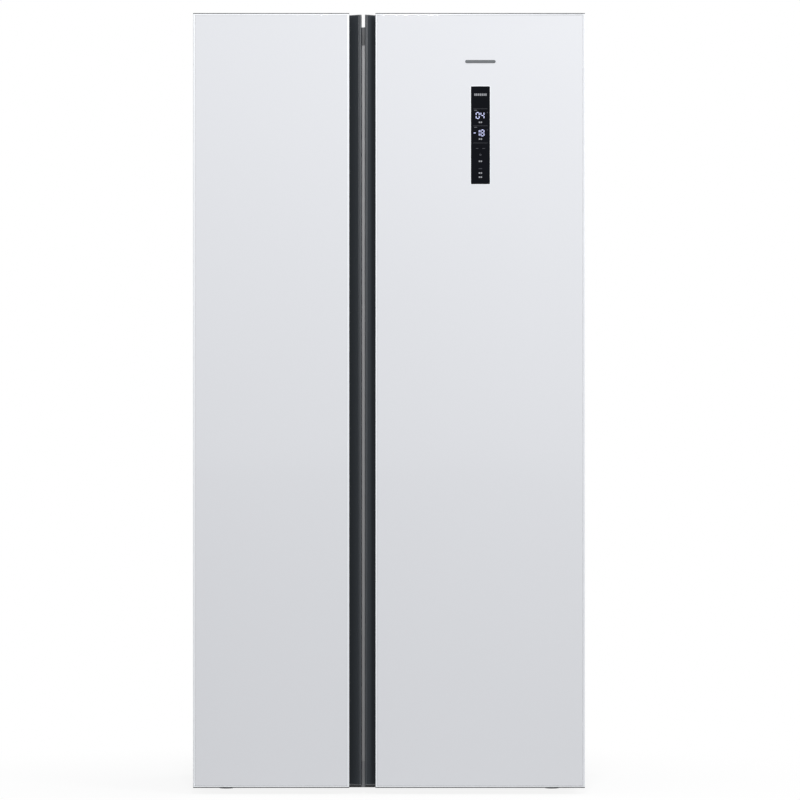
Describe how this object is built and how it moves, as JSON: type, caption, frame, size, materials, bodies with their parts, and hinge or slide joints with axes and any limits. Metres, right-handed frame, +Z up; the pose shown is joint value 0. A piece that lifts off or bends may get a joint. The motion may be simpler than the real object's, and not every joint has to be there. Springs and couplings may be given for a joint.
{
  "type": "side by side refrigerator",
  "caption": "Side by side refrigerator: narrow freezer door, wide fridge door with a touch display, vertical grips, drawers, shelves and door bins.",
  "frame": {"origin": "on the floor, at the centre of the overall bounding box", "axes": "+Z up, the doors face -Y, +X to the right of someone standing in front"},
  "size_m": [0.9, 0.7, 1.795],
  "materials": {
    "door_glass_white": "white glass, glossy",
    "door_edge_white": "bright satin",
    "grip_black": "black anodised",
    "display_black": "black glass",
    "cabinet_steel": "satin silver grey",
    "mullion_silver": "satin",
    "trim_grey": "satin",
    "liner_white": "satin",
    "gasket_grey": "matte",
    "insulation_foam": "foam",
    "zinc_steel": "zinc plated",
    "shelf_glass": "clear",
    "clear_plastic": "clear",
    "white_plastic": "satin",
    "grey_plastic": "textured",
    "black_plastic": "textured",
    "black_steel": "satin black enamel",
    "fin_aluminium": "mill"
  },
  "bodies": {
    "cabinet": {"cabinet_shell": "cabinet_steel", "back_panel": "cabinet_steel", "cabinet_foam": "insulation_foam", "freezer_liner": "liner_white", "fridge_liner": "liner_white", "centre_mullion": "mullion_silver", "top_trim": "trim_grey", "bottom_rail": "mullion_silver", "base_plate": "zinc_steel", "compressor": "black_steel", "condenser": "black_steel", "drip_tray": "black_plastic", "machine_cover": "cabinet_steel", "evaporator": "fin_aluminium", "evaporator_cover": "white_plastic", "fridge_air_duct": "white_plastic", "freezer_shelf_1": "shelf_glass", "freezer_shelf_2": "shelf_glass", "freezer_shelf_3": "shelf_glass", "fridge_shelf_1": "shelf_glass", "fridge_shelf_2": "shelf_glass", "fridge_shelf_3": "shelf_glass", "upper_hinge_left": "zinc_steel", "upper_hinge_right": "zinc_steel", "lower_hinge_left": "zinc_steel", "lower_hinge_right": "zinc_steel", "hinge_cover_left": "grey_plastic", "hinge_cover_right": "grey_plastic", "power_inlet": "black_plastic"},
    "freezer_door": {"freezer_door_panel": "door_glass_white", "freezer_door_frame": "door_edge_white", "freezer_door_foam": "insulation_foam", "freezer_door_liner": "liner_white", "freezer_door_grip": "grip_black", "freezer_door_gasket": "gasket_grey", "freezer_door_bin_1": "clear_plastic", "freezer_door_bin_2": "clear_plastic", "freezer_door_bin_3": "clear_plastic"},
    "fridge_door": {"fridge_door_panel": "door_glass_white", "fridge_door_frame": "door_edge_white", "fridge_door_foam": "insulation_foam", "fridge_door_liner": "liner_white", "fridge_door_grip": "grip_black", "fridge_door_gasket": "gasket_grey", "fridge_door_bin_1": "clear_plastic", "fridge_door_bin_2": "clear_plastic", "fridge_door_bin_3": "clear_plastic", "fridge_door_bin_4": "clear_plastic", "display_panel": "display_black"},
    "freezer_drawer_lower": {"freezer_drawer_lower": "clear_plastic"},
    "freezer_drawer_upper": {"freezer_drawer_upper": "clear_plastic"},
    "crisper_drawer_lower": {"crisper_drawer_lower": "clear_plastic"},
    "crisper_drawer_upper": {"crisper_drawer_upper": "clear_plastic"},
    "evaporator_fan": {"evaporator_fan": "black_plastic"},
    "condenser_fan": {"condenser_fan": "black_plastic"},
    "air_damper": {"air_damper": "grey_plastic"},
    "levelling_foot_left": {"levelling_foot_left": "black_plastic"},
    "levelling_foot_right": {"levelling_foot_right": "black_plastic"},
    "rear_roller_left": {"rear_roller_left": "black_plastic"},
    "rear_roller_right": {"rear_roller_right": "black_plastic"}
  },
  "joints": [
    {"name": "freezer_door_hinge", "type": "hinge", "parent": "cabinet", "child": "freezer_door", "pos_m": [-0.436, -0.312, 0.9], "axis": [0, 0, -1], "range_deg": [0, 115]},
    {"name": "fridge_door_hinge", "type": "hinge", "parent": "cabinet", "child": "fridge_door", "pos_m": [0.436, -0.312, 0.9], "axis": [0, 0, 1], "range_deg": [0, 115]},
    {"name": "freezer_drawer_lower_slide", "type": "slide", "parent": "cabinet", "child": "freezer_drawer_lower", "axis": [0, -1, 0], "range_m": [0, 0.16]},
    {"name": "freezer_drawer_upper_slide", "type": "slide", "parent": "cabinet", "child": "freezer_drawer_upper", "axis": [0, -1, 0], "range_m": [0, 0.23]},
    {"name": "crisper_drawer_lower_slide", "type": "slide", "parent": "cabinet", "child": "crisper_drawer_lower", "axis": [0, -1, 0], "range_m": [0, 0.16]},
    {"name": "crisper_drawer_upper_slide", "type": "slide", "parent": "cabinet", "child": "crisper_drawer_upper", "axis": [0, -1, 0], "range_m": [0, 0.23]},
    {"name": "evaporator_fan_spin", "type": "hinge", "parent": "cabinet", "child": "evaporator_fan", "pos_m": [-0.246, 0.25, 0.76], "axis": [0, 1, 0], "continuous": true},
    {"name": "condenser_fan_spin", "type": "hinge", "parent": "cabinet", "child": "condenser_fan", "pos_m": [-0.15, 0.235, 0.16], "axis": [1, 0, 0], "continuous": true},
    {"name": "air_damper_hinge", "type": "hinge", "parent": "cabinet", "child": "air_damper", "pos_m": [0.187, 0.2795, 1.64], "axis": [1, 0, 0], "range_deg": [0, 80]},
    {"name": "foot_left_turn", "type": "hinge", "parent": "cabinet", "child": "levelling_foot_left", "pos_m": [-0.38, -0.15, 0], "axis": [0, 0, 1], "continuous": true},
    {"name": "foot_right_turn", "type": "hinge", "parent": "cabinet", "child": "levelling_foot_right", "pos_m": [0.38, -0.15, 0], "axis": [0, 0, 1], "continuous": true},
    {"name": "roller_left_spin", "type": "hinge", "parent": "cabinet", "child": "rear_roller_left", "pos_m": [-0.38, 0.29, 0.02], "axis": [1, 0, 0], "continuous": true},
    {"name": "roller_right_spin", "type": "hinge", "parent": "cabinet", "child": "rear_roller_right", "pos_m": [0.38, 0.29, 0.02], "axis": [1, 0, 0], "continuous": true}
  ],
  "couplings": [
    {"joint": "freezer_drawer_lower_slide", "follows": "freezer_door_hinge", "m_per_rad": 0.0797},
    {"joint": "freezer_drawer_upper_slide", "follows": "freezer_door_hinge", "m_per_rad": 0.1145},
    {"joint": "crisper_drawer_lower_slide", "follows": "fridge_door_hinge", "m_per_rad": 0.0797},
    {"joint": "crisper_drawer_upper_slide", "follows": "fridge_door_hinge", "m_per_rad": 0.1145}
  ]
}
